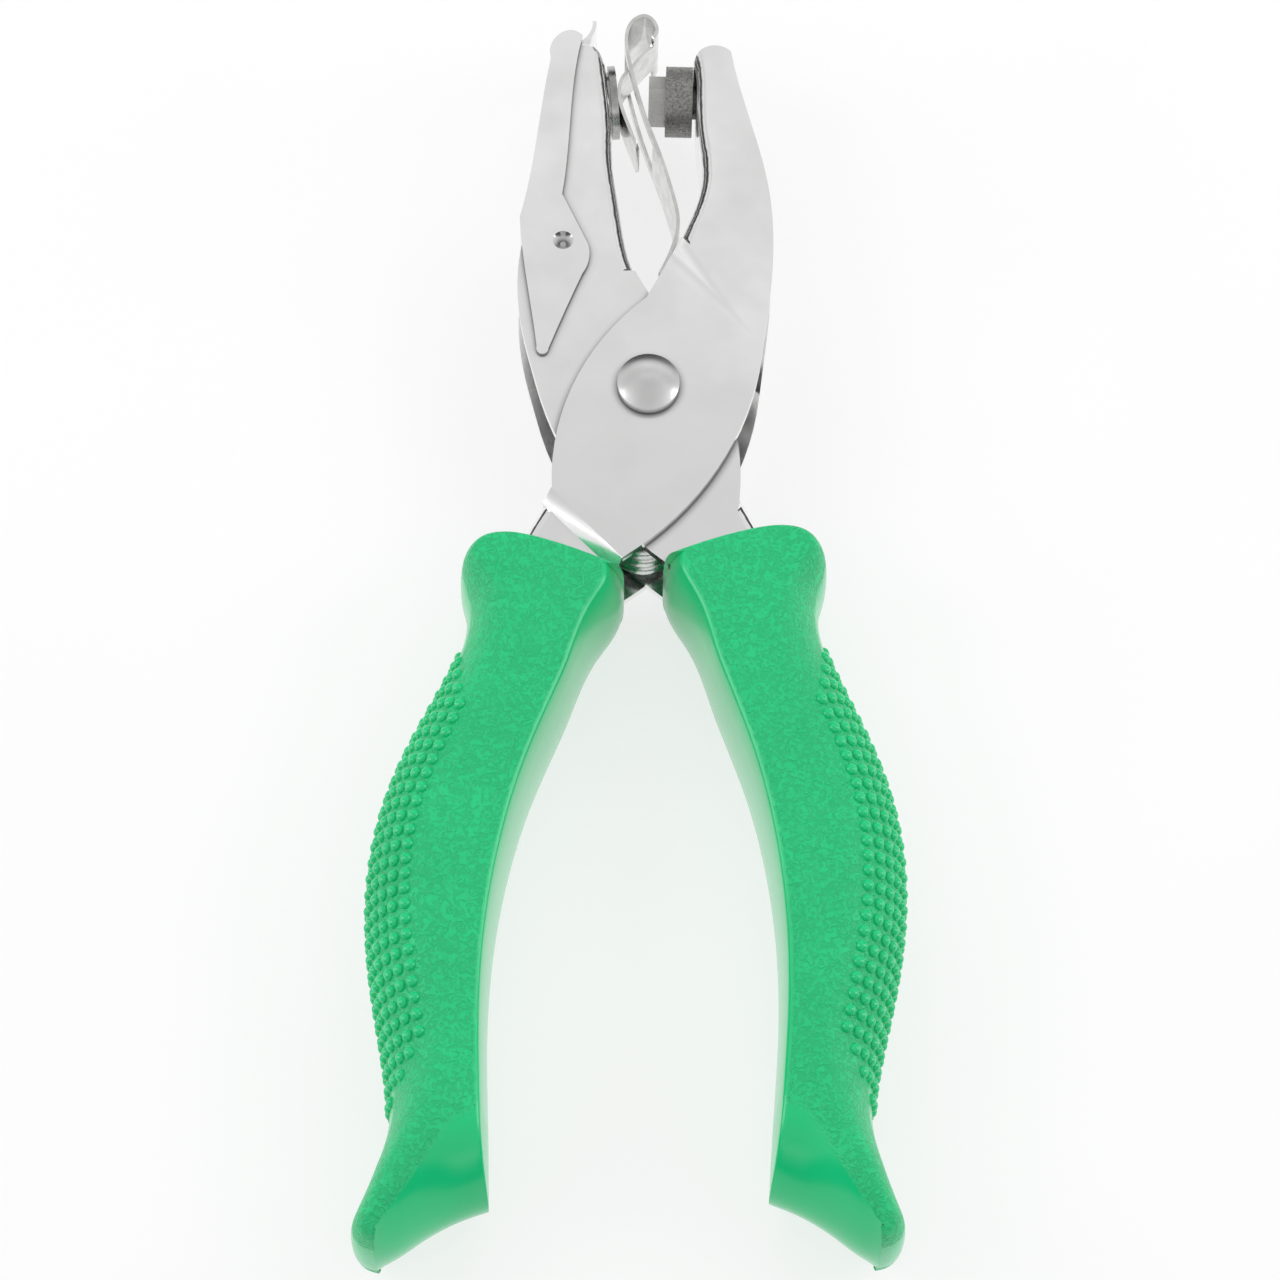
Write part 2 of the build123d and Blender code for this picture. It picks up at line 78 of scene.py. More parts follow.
MM = 0.001
WELD = 2e-6  # metres: vertices closer than this are one
SLEEVE_WELD = 20 * WELD  # the same where a sleeve's sections meet
LINE_STEPS = 40  # steps per control point while a curved line is measured
GRIP_STAGGER = 0.9  # millimetres that one grip is shifted down, and the other up, along Y
NOISE_SPAN = (0.3, 0.7)  # most of a noise pattern's values lie between these
COLOUR_A, COLOUR_B = 6, 7  # a Mix node's two colour inputs
PIVOT = Vector(next(j for j in frame["joints"] if j["name"] == "pivot")["pos_m"])


class Body(Enum):
    """The rigid bodies of the tool."""

    PUNCH = "punch_side"
    DIE = "die_side"
    COVER = "chip_cover_body"


class Side(Enum):
    """Which half of the tool a grip is on."""

    LEFT = -1
    RIGHT = 1


# ---------------------------------------------------------------- lines and meshes


def spline_bends(rows: np.ndarray, chord: np.ndarray) -> np.ndarray:
    """Second derivatives, at the control points, of the natural cubic line through them.

    Args:
        rows: one control point per row, of which the first two columns count.
        chord: distance from each point to the next.

    Returns:
        One row of two values per control point.
    """
    count = len(rows)
    system = np.eye(count)
    right = np.zeros((count, 2))
    for i in range(1, count - 1):
        system[i, i - 1] = chord[i - 1]
        system[i, i] = 2 * (chord[i - 1] + chord[i])
        system[i, i + 1] = chord[i]
        slope_after = (rows[i + 1, :2] - rows[i, :2]) / chord[i]
        slope_before = (rows[i, :2] - rows[i - 1, :2]) / chord[i - 1]
        right[i] = 6 * (slope_after - slope_before)
    return np.linalg.solve(system, right)


def natural_cubic(points: list[tuple[float, ...]], step: float) -> np.ndarray:
    """Evenly spaced points on a smooth line through the given ones.

    Args:
        points: control points; columns past the first two are carried along linearly.
        step: distance between the returned points.

    Returns:
        One row per point, with as many columns as the control points have.
    """
    rows = np.array(points, float)
    chord = np.linalg.norm(np.diff(rows[:, :2], axis=0), axis=1)
    knots = np.concatenate([[0.0], np.cumsum(chord)])
    count = len(rows)
    bend = spline_bends(rows, chord)
    fine = np.linspace(0, knots[-1], LINE_STEPS * count)
    span = np.clip(np.searchsorted(knots, fine, side="right") - 1, 0, count - 2)
    width = chord[span][:, None]
    before = (fine - knots[span])[:, None]
    after = width - before
    line = (
        bend[span] * after**3 / (6 * width)
        + bend[span + 1] * before**3 / (6 * width)
        + (rows[span, :2] / width - bend[span] * width / 6) * after
        + (rows[span + 1, :2] / width - bend[span + 1] * width / 6) * before
    )
    run = np.concatenate([[0.0], np.cumsum(np.linalg.norm(np.diff(line, axis=0), axis=1))])
    places = np.linspace(0, run[-1], max(2, round(run[-1] / step) + 1))
    columns = [np.interp(places, run, line[:, i]) for i in range(2)]
    at_knot = np.interp(places, run, fine)
    columns += [np.interp(at_knot, knots, rows[:, i]) for i in range(2, rows.shape[1])]
    return np.stack(columns, axis=1)


def inward_normals(line: np.ndarray) -> np.ndarray:
    """Unit normals on the right-hand side of a plan line."""
    along = np.gradient(line[:, :2], axis=0)
    along /= np.linalg.norm(along, axis=1)[:, None]
    return np.stack([along[:, 1], -along[:, 0]], axis=1)


def to_frame(points: np.ndarray) -> np.ndarray:
    """Millimetres from the pivot turned into metres in the shared frame."""
    return np.asarray(points, float) * MM + np.array(PIVOT)


def new_object(name: str, mesh: bpy.types.Mesh) -> bpy.types.Object:
    """Link a mesh to the scene as an object at the origin."""
    piece = bpy.data.objects.new(name, mesh)
    bpy.context.scene.collection.objects.link(piece)
    return piece


def bmesh_object(name: str, shape: bmesh.types.BMesh, sharp_degrees: float) -> bpy.types.Object:
    """Turn a bmesh into a smooth-shaded object whose edges past an angle stay sharp.

    Args:
        name: the object's name.
        shape: the geometry, freed here.
        sharp_degrees: faces that meet at more than this stay sharp.

    Returns:
        The new object.
    """
    mesh = bpy.data.meshes.new(name)
    shape.to_mesh(mesh)
    shape.free()
    mesh.shade_smooth()
    mesh.set_sharp_from_angle(angle=math.radians(sharp_degrees))
    return new_object(name, mesh)


def paint(mesh: bpy.types.Mesh, material: bpy.types.Material) -> None:
    """Make a mesh of one material."""
    mesh.materials.clear()
    mesh.materials.append(material)


def finish_piece(
    piece: bpy.types.Object,
    material: bpy.types.Material,
    body: Body,
    replaced: tuple[str, ...] = (),
) -> None:
    """Give a piece its material, and fix it to a body.

    Args:
        piece: the finished mesh object.
        material: what it is made of.
        body: the rigid body it moves with.
        replaced: CAD nodes that it stands for.
    """
    paint(piece.data, material)
    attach(piece, body.value)
    if replaced:
        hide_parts(*replaced)
    log.info("%s: %d faces", piece.name, len(piece.data.polygons))


# ---------------------------------------------------------------- finishes


class Recipe:
    """Adds shader nodes to one new material."""

    def __init__(self, name: str) -> None:
        """Start a material whose Principled shader is ready to be fed."""
        self.material = bpy.data.materials.new(name)
        self.material.use_nodes = True
        self.tree = self.material.node_tree
        self.shader = self.tree.nodes["Principled BSDF"]

    def node(self, kind: str, inputs: dict | None = None, **settings: object) -> bpy.types.Node:
        """Add a node.

        Args:
            kind: the node's type name.
            inputs: values or sockets for its inputs, by name or number.
            settings: properties of the node itself.

        Returns:
            The new node.
        """
        made = self.tree.nodes.new(kind)
        for key, value in settings.items():
            setattr(made, key, value)
        for key, value in (inputs or {}).items():
            self.feed(made.inputs[key], value)
        return made

    def feed(self, socket: Socket, value: object) -> None:
        """Set a socket to a value, or link it from another socket."""
        if isinstance(value, Socket):
            self.tree.links.new(value, socket)
        else:
            socket.default_value = value

    def millimetres(self, stretch: Triple = (1, 1, 1)) -> Socket:
        """Object coordinates in millimetres, stretched along each axis."""
        place = self.node("ShaderNodeTexCoord")
        scale = tuple(s / MM for s in stretch)
        moved = self.node(
            "ShaderNodeMapping", {"Vector": place.outputs["Object"], "Scale": scale}
        )
        return moved.outputs["Vector"]

    def noise(self, where: Socket, scale: float, **inputs: float) -> Socket:
        """A noise pattern; scale is in features per millimetre."""
        named = {key.capitalize(): value for key, value in inputs.items()}
        made = self.node("ShaderNodeTexNoise", {"Vector": where, "Scale": scale, **named})
        return made.outputs[0]

    def spread(
        self, value: Socket, low: float, high: float, to_low: float, to_high: float
    ) -> Socket:
        """Map a value from one range to another, clamped."""
        numbers = {"From Min": low, "From Max": high, "To Min": to_low, "To Max": to_high}
        made = self.node("ShaderNodeMapRange", {"Value": value, **numbers})
        return made.outputs["Result"]

    def math(self, operation: str, first: object, second: object = 0.0) -> Socket:
        """One arithmetic step."""
        made = self.node("ShaderNodeMath", {0: first, 1: second}, operation=operation)
        return made.outputs[0]

    def mix(self, amount: object, first: object, second: object) -> Socket:
        """Blend two colours, each a triple or a socket."""
        made = self.node("ShaderNodeMix", {"Factor": amount}, data_type="RGBA")
        for place, colour in ((COLOUR_A, first), (COLOUR_B, second)):
            self.feed(made.inputs[place], (*colour, 1) if isinstance(colour, tuple) else colour)
        return made.outputs[2]

    def seam(self, reach: float, low: float, high: float) -> Socket:
        """Mask for painted shade, from ambient occlusion: 0 deep in a seam between two surfaces, 1
        in the open; reach is in millimetres.
        """
        hidden = self.node("ShaderNodeAmbientOcclusion", {"Distance": reach * MM}, samples=8)
        return self.spread(hidden.outputs["AO"], low, high, 0.0, 1.0)

    def bump(self, height: Socket, depth: float, after: Socket | None = None) -> Socket:
        """A bump whose full height is depth millimetres, on top of an earlier one."""
        inputs = {"Height": height, "Strength": 1.0, "Distance": depth * MM}
        if after is not None:
            inputs["Normal"] = after
        return self.node("ShaderNodeBump", inputs).outputs["Normal"]


@dataclass(frozen=True)
class Plate:
    """Bright nickel plate on pressed steel, with painted shade darkening it in seams and where
    parts meet.
    """

    name: str
    light: Triple = (0.95, 0.95, 0.948)
    dull: Triple = (0.90, 0.90, 0.897)
    polish: float = 0.10  # lowest roughness
    haze: float = 0.20  # highest roughness
    ripple: float = 0.016  # height of the sheet's slow waves
    scratch: float = 0.0012
    seam_shade_reach: float = 1.2  # millimetres over which painted shade darkens the plate near a seam
    # colour of the painted shade in seams
    seam_shade_tone: Triple = (0.16, 0.16, 0.16)
    seam_shade_open: tuple[float, float] = (0.4, 0.92)  # openness at full painted seam shade and at none
    cloud_scale: float = 0.16  # this and the other scales: features per millimetre
    line_scale: float = 1.6
    line_stretch: Triple = (6.0, 0.5, 2.0)
    speck_scale: float = 5.0
    speck_haze: float = 0.05  # roughness that the specks add
    wave_scale: float = 0.11

    def material(self) -> bpy.types.Material:
        """Build the material."""
        recipe = Recipe(self.name)
        place = recipe.millimetres()
        cloud = recipe.noise(place, self.cloud_scale, detail=3.0)
        lines = recipe.noise(recipe.millimetres(self.line_stretch), self.line_scale, detail=4.0)
        speck = recipe.noise(place, self.speck_scale, detail=2.0)
        tone = recipe.mix(recipe.spread(cloud, 0.35, 0.7, 0, 1), self.light, self.dull)
        # painted shade: the colour darkens towards the seam shade tone where ambient occlusion
        # finds a crevice or a joint between parts
        seam = recipe.seam(self.seam_shade_reach, *self.seam_shade_open)
        recipe.feed(recipe.shader.inputs["Base Color"], recipe.mix(seam, self.seam_shade_tone, tone))
        rough = recipe.spread(cloud, 0.3, 0.75, self.polish, self.haze)
        worn = recipe.spread(speck, 0.62, 0.8, 0.0, self.speck_haze)
        recipe.feed(recipe.shader.inputs["Roughness"], recipe.math("ADD", rough, worn))
        recipe.shader.inputs["Metallic"].default_value = 1.0
        wave = recipe.bump(recipe.noise(place, self.wave_scale, detail=1.0), self.ripple)
        fine = recipe.bump(lines, self.scratch, wave)
        recipe.feed(recipe.shader.inputs["Normal"], fine)
        return recipe.material


@dataclass(frozen=True)
class Sintered:
    """Porous grey steel of the punch, ground paler past a place along X."""

    name: str
    pale: Triple = (0.36, 0.355, 0.34)
    dark: Triple = (0.13, 0.13, 0.125)
    ground: Triple = (0.58, 0.575, 0.56)
    ground_share: float = 0.27  # of the punch's length, from its cutting end
    ground_edge: float = 0.1  # half the width of the step up to the ground part
    ground_cover: float = 0.75  # how much of the ground tone shows
    roughness: float = 0.44
    metallic: float = 0.75
    grain_scale: float = 3.2  # features per millimetre
    grain_height: float = 0.02
    pore_scale: float = 2.2
    pit_height: float = -0.03

    def material(self) -> bpy.types.Material:
        """Build the material."""
        recipe = Recipe(self.name)
        place = recipe.millimetres()
        grains = recipe.noise(place, self.grain_scale, detail=4.0, roughness=0.7)
        pores = recipe.node("ShaderNodeTexVoronoi", {"Vector": place, "Scale": self.pore_scale})
        pit = recipe.spread(pores.outputs["Distance"], 0.05, 0.22, 1.0, 0.0)
        tone = recipe.spread(grains, 0.35, 0.68, 0.0, 1.0)
        darker = recipe.math("MAXIMUM", tone, pit)
        body = recipe.mix(darker, self.pale, self.dark)
        low, high = (corner[0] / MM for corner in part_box("punch"))
        limit = low + self.ground_share * (high - low)
        along = recipe.node("ShaderNodeSeparateXYZ", {"Vector": place}).outputs["X"]
        step = (limit - self.ground_edge, limit + self.ground_edge)
        face = recipe.spread(along, *step, self.ground_cover, 0.0)
        recipe.feed(recipe.shader.inputs["Base Color"], recipe.mix(face, body, self.ground))
        recipe.shader.inputs["Metallic"].default_value = self.metallic
        haze = (self.roughness - 0.1, self.roughness + 0.15)
        rough = recipe.spread(grains, *NOISE_SPAN, *haze)
        recipe.feed(recipe.shader.inputs["Roughness"], rough)
        grainy = recipe.bump(grains, self.grain_height)
        pitted = recipe.bump(pit, self.pit_height, grainy)
        recipe.feed(recipe.shader.inputs["Normal"], pitted)
        return recipe.material


@dataclass(frozen=True)
class SpringSteel:
    """Rolled strip or drawn wire, with lines along its length."""

    name: str
    tint: Triple = (0.80, 0.80, 0.79)
    shade: Triple = (0.66, 0.66, 0.65)
    roughness: float = 0.2
    grain: Triple = (4.0, 0.4, 6.0)
    line_scale: float = 1.4  # features per millimetre
    line_height: float = 0.002
    blotch_scale: float = 0.5

    def material(self) -> bpy.types.Material:
        """Build the material."""
        recipe = Recipe(self.name)
        lines = recipe.noise(recipe.millimetres(self.grain), self.line_scale, detail=3.0)
        blotch = recipe.noise(recipe.millimetres(), self.blotch_scale, detail=2.0)
        recipe.feed(
            recipe.shader.inputs["Base Color"],
            recipe.mix(recipe.spread(blotch, 0.35, 0.65, 0, 1), self.tint, self.shade),
        )
        haze = (self.roughness - 0.06, self.roughness + 0.1)
        rough = recipe.spread(lines, *NOISE_SPAN, *haze)
        recipe.feed(recipe.shader.inputs["Roughness"], rough)
        recipe.shader.inputs["Metallic"].default_value = 1.0
        recipe.feed(recipe.shader.inputs["Normal"], recipe.bump(lines, self.line_height))
        return recipe.material


@dataclass(frozen=True)
class GripPlastic:
    """Moulded green plastic, grained where the grain attribute is 1, with a pale reflection of the
    bright surroundings painted into its colour on the inner wall.
    """

    name: str
    green: Triple = (0.004, 0.590, 0.212)
    deep: Triple = (0.003, 0.465, 0.162)
    # pale mint painted on the inner wall as a reflection of the bright surroundings, and how much
    # of it shows
    pale: Triple = (0.26, 0.66, 0.40)
    reflection_share: float = 0.55
    smooth: float = 0.22  # roughness of the smooth parts
    grained: float = 0.50  # roughness of the grained parts
    grain_depth: float = 0.07
    grain_scale: float = 1.25  # features per millimetre
    grain_twist: float = 1.6
    pit_share: float = 0.85  # how far the grain's pits go towards the deep green
    cloud_scale: float = 0.09
    cloud_share: float = 0.35
    skin_scale: float = 2.6
    skin_height: float = 0.006
    glow_weight: float = 0.08  # light that travels through the plastic
    sheen: float = 0.40

    def material(self) -> bpy.types.Material:
        """Build the material."""
        recipe = Recipe(self.name)
        place = recipe.millimetres()
        mask = recipe.node("ShaderNodeAttribute", attribute_name="grain").outputs["Fac"]
        worms = recipe.noise(place, self.grain_scale, detail=2.0, distortion=self.grain_twist)
        ridge = recipe.spread(worms, 0.40, 0.58, 0.0, 1.0)
        cloud = recipe.noise(place, self.cloud_scale, detail=2.0)
        pits = recipe.math("MULTIPLY", mask, recipe.math("SUBTRACT", 1.0, ridge))
        uneven = recipe.spread(cloud, *NOISE_SPAN, 0.0, self.cloud_share)
        depth = recipe.math("ADD", recipe.math("MULTIPLY", pits, self.pit_share), uneven)
        tone = recipe.mix(depth, self.green, self.deep)
        # painted reflection: the smooth inner wall's colour is mixed towards pale mint, standing
        # in for the bright surroundings mirrored there
        painted_reflection = recipe.node("ShaderNodeAttribute", attribute_name="painted_reflection").outputs["Fac"]
        share = recipe.math("MULTIPLY", painted_reflection, self.reflection_share)
        recipe.feed(recipe.shader.inputs["Base Color"], recipe.mix(share, tone, self.pale))
        rough = recipe.spread(mask, 0.0, 1.0, self.smooth, self.grained)
        recipe.feed(recipe.shader.inputs["Roughness"], rough)
        recipe.shader.inputs["Subsurface Weight"].default_value = self.glow_weight
        recipe.shader.inputs["Subsurface Radius"].default_value = (0.0006, 0.0012, 0.0008)
        recipe.shader.inputs["IOR"].default_value = 1.52
        recipe.shader.inputs["Sheen Weight"].default_value = self.sheen
        recipe.shader.inputs["Sheen Roughness"].default_value = 0.30
        recipe.shader.inputs["Sheen Tint"].default_value = (0.85, 1.0, 0.90, 1.0)
        fine = recipe.noise(place, self.skin_scale, detail=2.0)
        skin = recipe.bump(fine, self.skin_height)
        raised = recipe.math("MULTIPLY", mask, ridge)
        recipe.feed(recipe.shader.inputs["Normal"], recipe.bump(raised, self.grain_depth, skin))
        return recipe.material


@dataclass(frozen=True)
class Finishes:
    """Every material of the tool, built once."""

    plate: bpy.types.Material
    cover: bpy.types.Material
    rivet: bpy.types.Material
    sintered: bpy.types.Material
    ground: bpy.types.Material
    strip: bpy.types.Material
    wire: bpy.types.Material
    plastic: bpy.types.Material


def mix_finishes() -> Finishes:
    """Build the materials of the tool."""
    return Finishes(
        plate=Plate("lever_nickel_plate").material(),
        cover=Plate("cover_nickel_plate", ripple=0.016, polish=0.08).material(),
        rivet=Plate(
            "rivet_nickel_plate",
            light=(0.80, 0.80, 0.797),
            dull=(0.70, 0.70, 0.697),
            polish=0.16,
            haze=0.26,
            ripple=0.004,
        ).material(),
        sintered=Sintered("sintered_steel").material(),
        ground=SpringSteel(
            "ground_die_steel", tint=(0.52, 0.52, 0.51), shade=(0.36, 0.36, 0.35), roughness=0.24
        ).material(),
        strip=SpringSteel("spring_strip_steel").material(),
        wire=SpringSteel("spring_wire_steel", roughness=0.26, grain=(2.0, 2.0, 2.0)).material(),
        plastic=GripPlastic("moulded_green_plastic").material(),
    )


# ---------------------------------------------------------------- grips


@dataclass
class Grip:
    """One moulded sleeve, drawn for the right handle and mirrored for the left."""

    side: Side
    body: Body
    node: str
    stagger: float
    half_depth: float = 10.0
    step: float = 0.6  # between sections
    fine_step: float = 0.05  # between points of the roll-off's upper line
    rings: int = 14
    smooth_rings: int = 4  # rings from the mid plane up to where the grain starts
    sharp: float = 50.0  # degrees past which an edge stays sharp
    lip: float = 0.6  # rounding of the inner wall's front edge
    straight: float = 0.7  # share of a wall section's points that lie below that rounding
    crown: float = 0.9  # how far the inner wall bulges at mid depth
    crown_top: float = 2.3  # the same at the upper end
    crown_from: float = -40.0  # Y where the bulge starts to grow
    crown_blend: float = 14.0  # length over which it grows
    corner_drop: float = 1.3  # from the top line down to the inner front corner
    corner_from: float = -30.0  # the side's sections stop at that corner only above this Y
    top_points: int = 40  # points of the rim line that may lie on the top edge
    reflection_height: float = 0.92  # share of the half depth where the painted pale reflection on the inner wall ends
    reflection_fade: float = 0.35
    face_pitch: float = 2.0  # spacing of the points inside the flat faces
    taper_from: float = -97.0  # below this the grip gets thinner towards the toe
    taper_to: float = -112.0
    toe_share: float = 0.74  # thickness left at the toe
    # x, y, width of the rounded side, squareness of its section
    rim: list[tuple[float, float, float, float]] = field(
        default_factory=lambda: [
            (2.4, -24.9, 1.3, 4.0),
            (6.2, -23.2, 1.3, 4.0),
            (10.7, -21.6, 1.3, 4.0),
            (16.2, -20.3, 1.4, 4.0),
            (20.6, -20.9, 1.8, 3.2),
            (22.6, -23.4, 2.3, 2.6),
            (21.9, -28.8, 5.0, 2.2),
            (23.2, -36.0, 7.0, 2.0),
            (27.6, -45.5, 8.0, 2.0),
            (31.2, -56.0, 8.0, 2.0),
            (32.3, -67.0, 8.0, 2.0),
            (31.2, -78.0, 8.0, 2.0),
            (29.2, -88.5, 7.5, 2.0),
            (28.7, -95.0, 5.0, 2.0),
            (30.0, -101.2, 3.0, 2.3),
            (31.9, -106.4, 2.4, 2.3),
            (32.5, -109.1, 2.2, 2.3),
            (31.2, -111.0, 1.9, 2.3),
            (29.6, -111.5, 1.7, 2.3),
        ]
    )
    # x, y of the end's lower line, x, y where it leaves the front face, softness of that edge
    scoop: list[tuple[float, float, float, float, float]] = field(
        default_factory=lambda: [
            (29.6, -111.5, 29.6, -109.9, 0.60),
            (27.2, -110.5, 28.2, -107.6, 0.60),
            (24.6, -108.7, 25.6, -103.8, 0.62),
            (21.0, -106.5, 22.6, -98.6, 0.75),
            (18.6, -105.4, 20.3, -95.8, 0.95),
            (16.5, -104.6, 18.0, -95.0, 1.0),
        ]
    )
    inner: list[tuple[float, float]] = field(
        default_factory=lambda: [
            (16.5, -104.6),
            (16.9, -95.0),
            (17.4, -84.0),
            (17.2, -74.0),
            (15.5, -61.0),
            (12.8, -50.5),
            (8.5, -39.0),
            (4.9, -31.2),
            (2.5, -27.0),
            (2.4, -24.9),
        ]
    )

    def depth_profile(self, squareness: float) -> np.ndarray:
        """Inset share and height of a rounded side, from the mid plane to the front face."""
        turn = np.linspace(0, math.pi / 2, self.rings + 1)
        power = 2 / squareness
        return np.stack(
            [1 - np.cos(turn) ** power, self.half_depth * np.sin(turn) ** power], axis=1
        )

    def wall_profile(self, crown: float) -> np.ndarray:
        """Inset share and height of the crowned inner wall, with its front edge rounded."""
        share = np.linspace(0, 1, self.rings + 1)
        wall_top = self.half_depth - self.lip
        rise = wall_top * np.minimum(share / self.straight, 1)
        bulge = crown * (rise / self.half_depth) ** 2
        past = np.clip((share - self.straight) / (1 - self.straight), 0, 1)
        turn = past * math.pi / 2
        height = rise + self.lip * np.sin(turn)
        inset = bulge + (crown + self.lip - bulge) * (1 - np.cos(turn))
        return np.stack([inset / (crown + self.lip), height], axis=1)

    def scoop_profile(self, softness: float) -> np.ndarray:
        """Inset share and height of the end's roll-off."""
        share = 1 - np.cos(np.linspace(0, math.pi / 2, self.rings + 1))
        full = math.sqrt(1 - (1 - softness) ** 2)
        height = np.sqrt(1 - (1 - softness * share) ** 2) / full
        return np.stack([share, self.half_depth * height], axis=1)

    def crown_at(self, y: np.ndarray) -> np.ndarray:
        """How far the inner wall bulges at a place along the grip."""
        near_top = np.clip((y - self.crown_from) / self.crown_blend, 0, 1)
        smooth = near_top * near_top * (3 - 2 * near_top)
        return self.crown + (self.crown_top - self.crown) * smooth

    def column(self, low: np.ndarray, high: np.ndarray, profile: np.ndarray) -> np.ndarray:
        """Points of one section from the silhouette up to the front face."""
        plan = low[None, :] + (high - low)[None, :] * profile[:, :1]
        return np.concatenate([plan, profile[:, 1:]], axis=1)

    def wall_columns(self) -> tuple[list[np.ndarray], np.ndarray]:
        """Sections of the inner wall from the end's roll-off up to the top corner."""
        line = natural_cubic(self.inner, self.step)
        line = line[line[:, 1] > self.scoop[-1][3] - 0.01]
        line = np.vstack([self.wall_start(), line[1:]])
        inward = inward_normals(line)
        crown = self.crown_at(line[:, 1])
        top = natural_cubic(self.rim, self.step)[: self.top_points]
        corner_x = self.rim[0][0] + self.crown_top + self.lip
        corner_y = np.interp(corner_x, top[:, 0], top[:, 1]) - self.corner_drop
        corner = np.array([corner_x, corner_y])
        columns = []
        for place, normal, bulge in zip(line, inward, crown):
            high = place + normal * (bulge + self.lip)
            if high[1] > corner[1]:
                high = corner
            columns.append(self.column(place, high, self.wall_profile(bulge)))
        return columns, corner

    def wall_start(self) -> np.ndarray:
        """Where the inner wall meets the top of the end's roll-off."""
        line = natural_cubic(self.inner, self.step)
        y = self.scoop[-1][3]
        return np.array([np.interp(y, line[:, 1], line[:, 0]), y])

    def side_columns(self, corner: np.ndarray) -> list[np.ndarray]:
        """Sections round the top, the outer side and the toe."""
        line = natural_cubic(self.rim, self.step)
        inward = inward_normals(line)
        columns = []
        for (x, y, width, square), normal in zip(line, inward):
            low = np.array([x, y])
            high = low + normal * width
            if high[0] < corner[0] and y > self.corner_from:
                high = corner
            columns.append(self.column(low, high, self.depth_profile(square)))
        return columns

    def end_columns(self) -> list[np.ndarray]:
        """Sections of the roll-off, from the toe to the inner wall."""
        line = natural_cubic([p[:2] for p in self.scoop], self.step)
        share = np.linspace(0, 1, len(line))
        edge = natural_cubic([p[2:] for p in self.scoop], self.fine_step)
        pick = np.round(share * (len(edge) - 1)).astype(int)
        columns = []
        for low, (x, y, softness) in zip(line, edge[pick]):
            columns.append(self.column(low[:2], np.array([x, y]), self.scoop_profile(softness)))
        columns[-1] = self.crease()
        return columns

    def crease(self) -> np.ndarray:
        """The edge between the inner wall and the roll-off."""
        profile = self.scoop_profile(1.0)
        line = natural_cubic(self.inner, self.step)
        low_y = self.inner[0][1]
        y = low_y + (self.scoop[-1][3] - low_y) * profile[:, 0]
        wall = np.interp(y, line[:, 1], line[:, 0])
        inset = (self.crown + self.lip) * (profile[:, 1] / self.half_depth) ** 2
        return np.stack([wall + inset, y, profile[:, 1]], axis=1)

    def wall_foot(self) -> list[np.ndarray]:
        """Sections of the inner wall under the roll-off's edge."""
        crease = self.crease()
        line = natural_cubic(self.inner, self.step)
        wall = self.wall_profile(self.crown)
        columns = []
        for x, y, top in crease:
            start = np.interp(y, line[:, 1], line[:, 0])
            plan_x = start + (x - start) * wall[:, 0]
            height = top * wall[:, 1] / self.half_depth
            columns.append(np.stack([plan_x, np.full_like(plan_x, y), height], axis=1))
        return columns

    def place(self, points: np.ndarray) -> np.ndarray:
        """Move drawn points to this grip's side, thinned at the toe, in metres."""
        moved = np.array(points, float)
        share = np.clip((self.taper_from - moved[:, 1]) / (self.taper_from - self.taper_to), 0, 1)
        moved[:, 2] *= 1 - (1 - self.toe_share) * share * share
        moved[:, 0] *= self.side.value
        moved[:, 1] += self.stagger
        return to_frame(moved)

    def build(self, finishes: Finishes) -> None:
        """Make the sleeve."""
        wall, corner = self.wall_columns()
        end = self.end_columns()
        around = wall + self.side_columns(corner) + end
        shape = bmesh.new()
        grain = shape.verts.layers.float.new("grain")
        # weights of the pale reflection painted on the inner wall
        painted_reflection = shape.verts.layers.float.new("painted_reflection")
        smooth_from = len(around) - len(end)
        for mirror in (1, -1):
            grid = [
                self.add_column(shape, column, mirror, grain, len(wall) <= i < smooth_from)
                for i, column in enumerate(around)
            ]
            self.skin(shape, grid + grid[:1])
            self.paint_wall_reflection(grid[: len(wall)], painted_reflection)
            foot = [self.add_column(shape, c, mirror, grain, False) for c in self.wall_foot()]
            self.skin(shape, foot)
            self.close_front(shape, [column[-1] for column in grid], mirror, grain)
        bmesh.ops.remove_doubles(shape, verts=shape.verts, dist=SLEEVE_WELD)
        bmesh.ops.dissolve_degenerate(shape, edges=shape.edges, dist=WELD)
        bmesh.ops.recalc_face_normals(shape, faces=shape.faces)
        piece = bmesh_object(self.node + "_sleeve", shape, self.sharp)
        finish_piece(piece, finishes.plastic, self.body, (self.node,))

    def add_column(
        self, shape: bmesh.types.BMesh, column: np.ndarray, mirror: int, grain: object, rough: bool
    ) -> list[bmesh.types.BMVert]:
        """Add one section's vertices."""
        flipped = column * np.array([1, 1, mirror])
        verts = []
        for i, point in enumerate(self.place(flipped)):
            vert = shape.verts.new(point)
            vert[grain] = 1.0 if rough and i > self.smooth_rings else 0.0
            verts.append(vert)
        return verts

    def paint_wall_reflection(self, columns: list[list[bmesh.types.BMVert]], painted_reflection: object) -> None:
        """Mark the inner wall's middle for the painted pale reflection, fading out towards its
        front edge.
        """
        for column in columns:
            for i, vert in enumerate(column):
                up = abs(vert.co.z - PIVOT.z) / (self.half_depth * MM)
                vert[painted_reflection] = float(np.clip((self.reflection_height - up) / self.reflection_fade, 0, 1))

    def skin(self, shape: bmesh.types.BMesh, grid: list[list[bmesh.types.BMVert]]) -> None:
        """Join neighbouring sections with faces."""
        for first, second in zip(grid, grid[1:]):
            for i in range(len(first) - 1):
                corners = [first[i], second[i], second[i + 1], first[i + 1]]
                shape.faces.new(corners)

